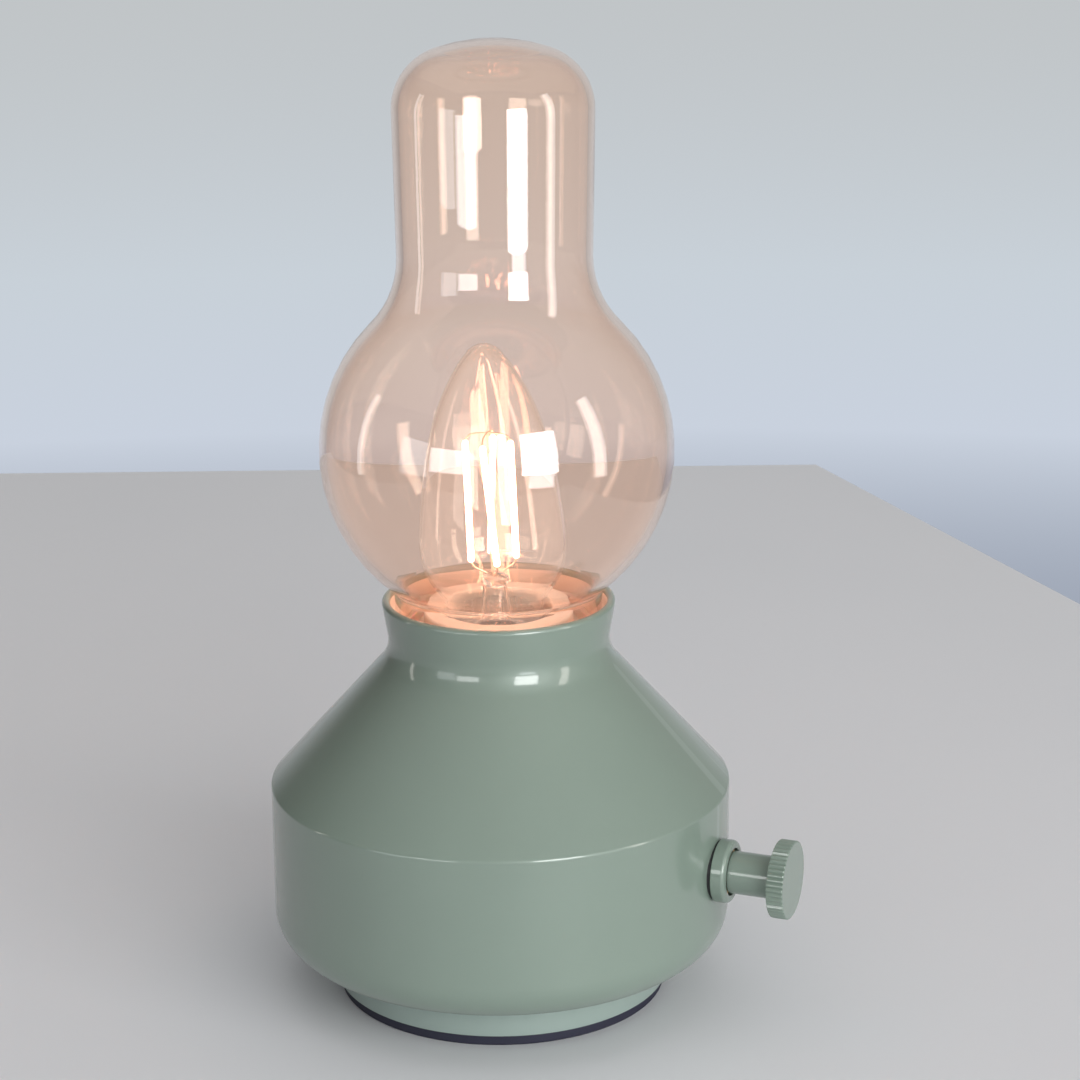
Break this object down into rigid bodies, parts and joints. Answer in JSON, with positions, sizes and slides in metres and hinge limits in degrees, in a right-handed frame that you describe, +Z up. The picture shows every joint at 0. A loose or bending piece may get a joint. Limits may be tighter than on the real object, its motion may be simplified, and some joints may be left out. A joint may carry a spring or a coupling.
{
  "type": "camping lantern",
  "caption": "Cordless camping and table lantern shaped like an oil lamp: rose glass chimney over a filament bulb on a round enamelled metal base with a dimmer knob.",
  "frame": {"origin": "centre of the underside of the foot pad, on the lantern's axis", "axes": "+Z up along the lantern's axis, +X out along the dimmer knob's axis, +Y towards the charging inlet"},
  "size_m": [0.1402, 0.1206, 0.2484],
  "materials": {
    "sage_enamel": "gloss sage green enamel",
    "plinth_enamel": "gloss sage green enamel",
    "foot_rubber": "matt blue-black",
    "cream_enamel": "satin cream enamel",
    "rose_glass": "clear, pale amber-rose",
    "clear_glass": "clear",
    "filament": "glowing warm white",
    "holder_plastic": "heat-proof, satin",
    "silicone": "translucent",
    "black_rubber": "matt",
    "brass": "plain",
    "nickel": "nickel plated",
    "steel_screw": "zinc plated",
    "chassis_plastic": "moulded",
    "cell_wrap": "shrink wrap",
    "board_green": "solder mask",
    "chip_black": "moulded",
    "connector_white": "nylon",
    "foam": "foam",
    "wire_red": "PVC",
    "insulator_black": "black vitrite",
    "thin_wire": "nickel"
  },
  "bodies": {
    "base": {"foot_pad": "foot_rubber", "base_plate": "plinth_enamel", "base_screws": "steel_screw", "base_shell": "sage_enamel", "chassis": "chassis_plastic", "cells": "cell_wrap", "cell_tabs": "nickel", "cell_link": "nickel", "cell_pad": "foam", "driver_board": "board_green", "wire_blocks": "connector_white", "board_chips": "chip_black", "board_coil": "chip_black", "inlet_socket": "nickel", "inlet_bezel": "black_rubber", "pillars": "brass", "lamp_deck": "steel_screw", "deck_screws": "steel_screw", "holder_body": "holder_plastic", "holder_screws": "steel_screw", "holder_skirt": "holder_plastic", "holder_sleeve": "brass", "holder_contact": "brass", "light_well": "cream_enamel", "chimney_gasket": "silicone", "dimmer_body": "nickel", "dimmer_bushing": "brass", "dimmer_spacer": "black_rubber", "collar_gasket": "black_rubber", "knob_collar": "sage_enamel", "dimmer_nut": "brass", "dimmer_lugs": "brass", "cell_leads": "wire_red", "dimmer_leads": "wire_red", "holder_leads": "wire_red"},
    "chimney": {"chimney": "rose_glass"},
    "bulb_tip": {"bulb_eyelet": "brass"},
    "bulb": {"bulb_cap": "nickel", "bulb_insulator": "insulator_black", "bulb_driver": "board_green", "bulb_glass": "clear_glass", "bulb_stem": "clear_glass", "bulb_wires": "thin_wire", "bulb_filaments": "filament"},
    "dimmer": {"knob": "sage_enamel", "knob_screw": "steel_screw", "dimmer_shaft": "steel_screw", "dimmer_wiper": "nickel"}
  },
  "joints": [
    {"name": "dimmer_turn", "type": "hinge", "parent": "base", "child": "dimmer", "pos_m": [0, 0, 0.0389], "axis": [1, 0, 0], "range_deg": [-270, 30]},
    {"name": "chimney_lift", "type": "slide", "parent": "base", "child": "chimney", "axis": [0, 0, 1], "range_m": [0, 0.09]},
    {"name": "bulb_rise", "type": "slide", "parent": "base", "child": "bulb_tip", "axis": [-0.0355, -0.0146, 0.9993], "range_m": [0, 0.0146]},
    {"name": "bulb_turn", "type": "hinge", "parent": "bulb_tip", "child": "bulb", "pos_m": [0, 0, 0.087], "axis": [-0.0355, -0.0146, 0.9993], "range_deg": [0, 1440]}
  ],
  "couplings": [
    {"joint": "bulb_rise", "follows": "bulb_turn", "m_per_rad": 0.0005775}
  ]
}
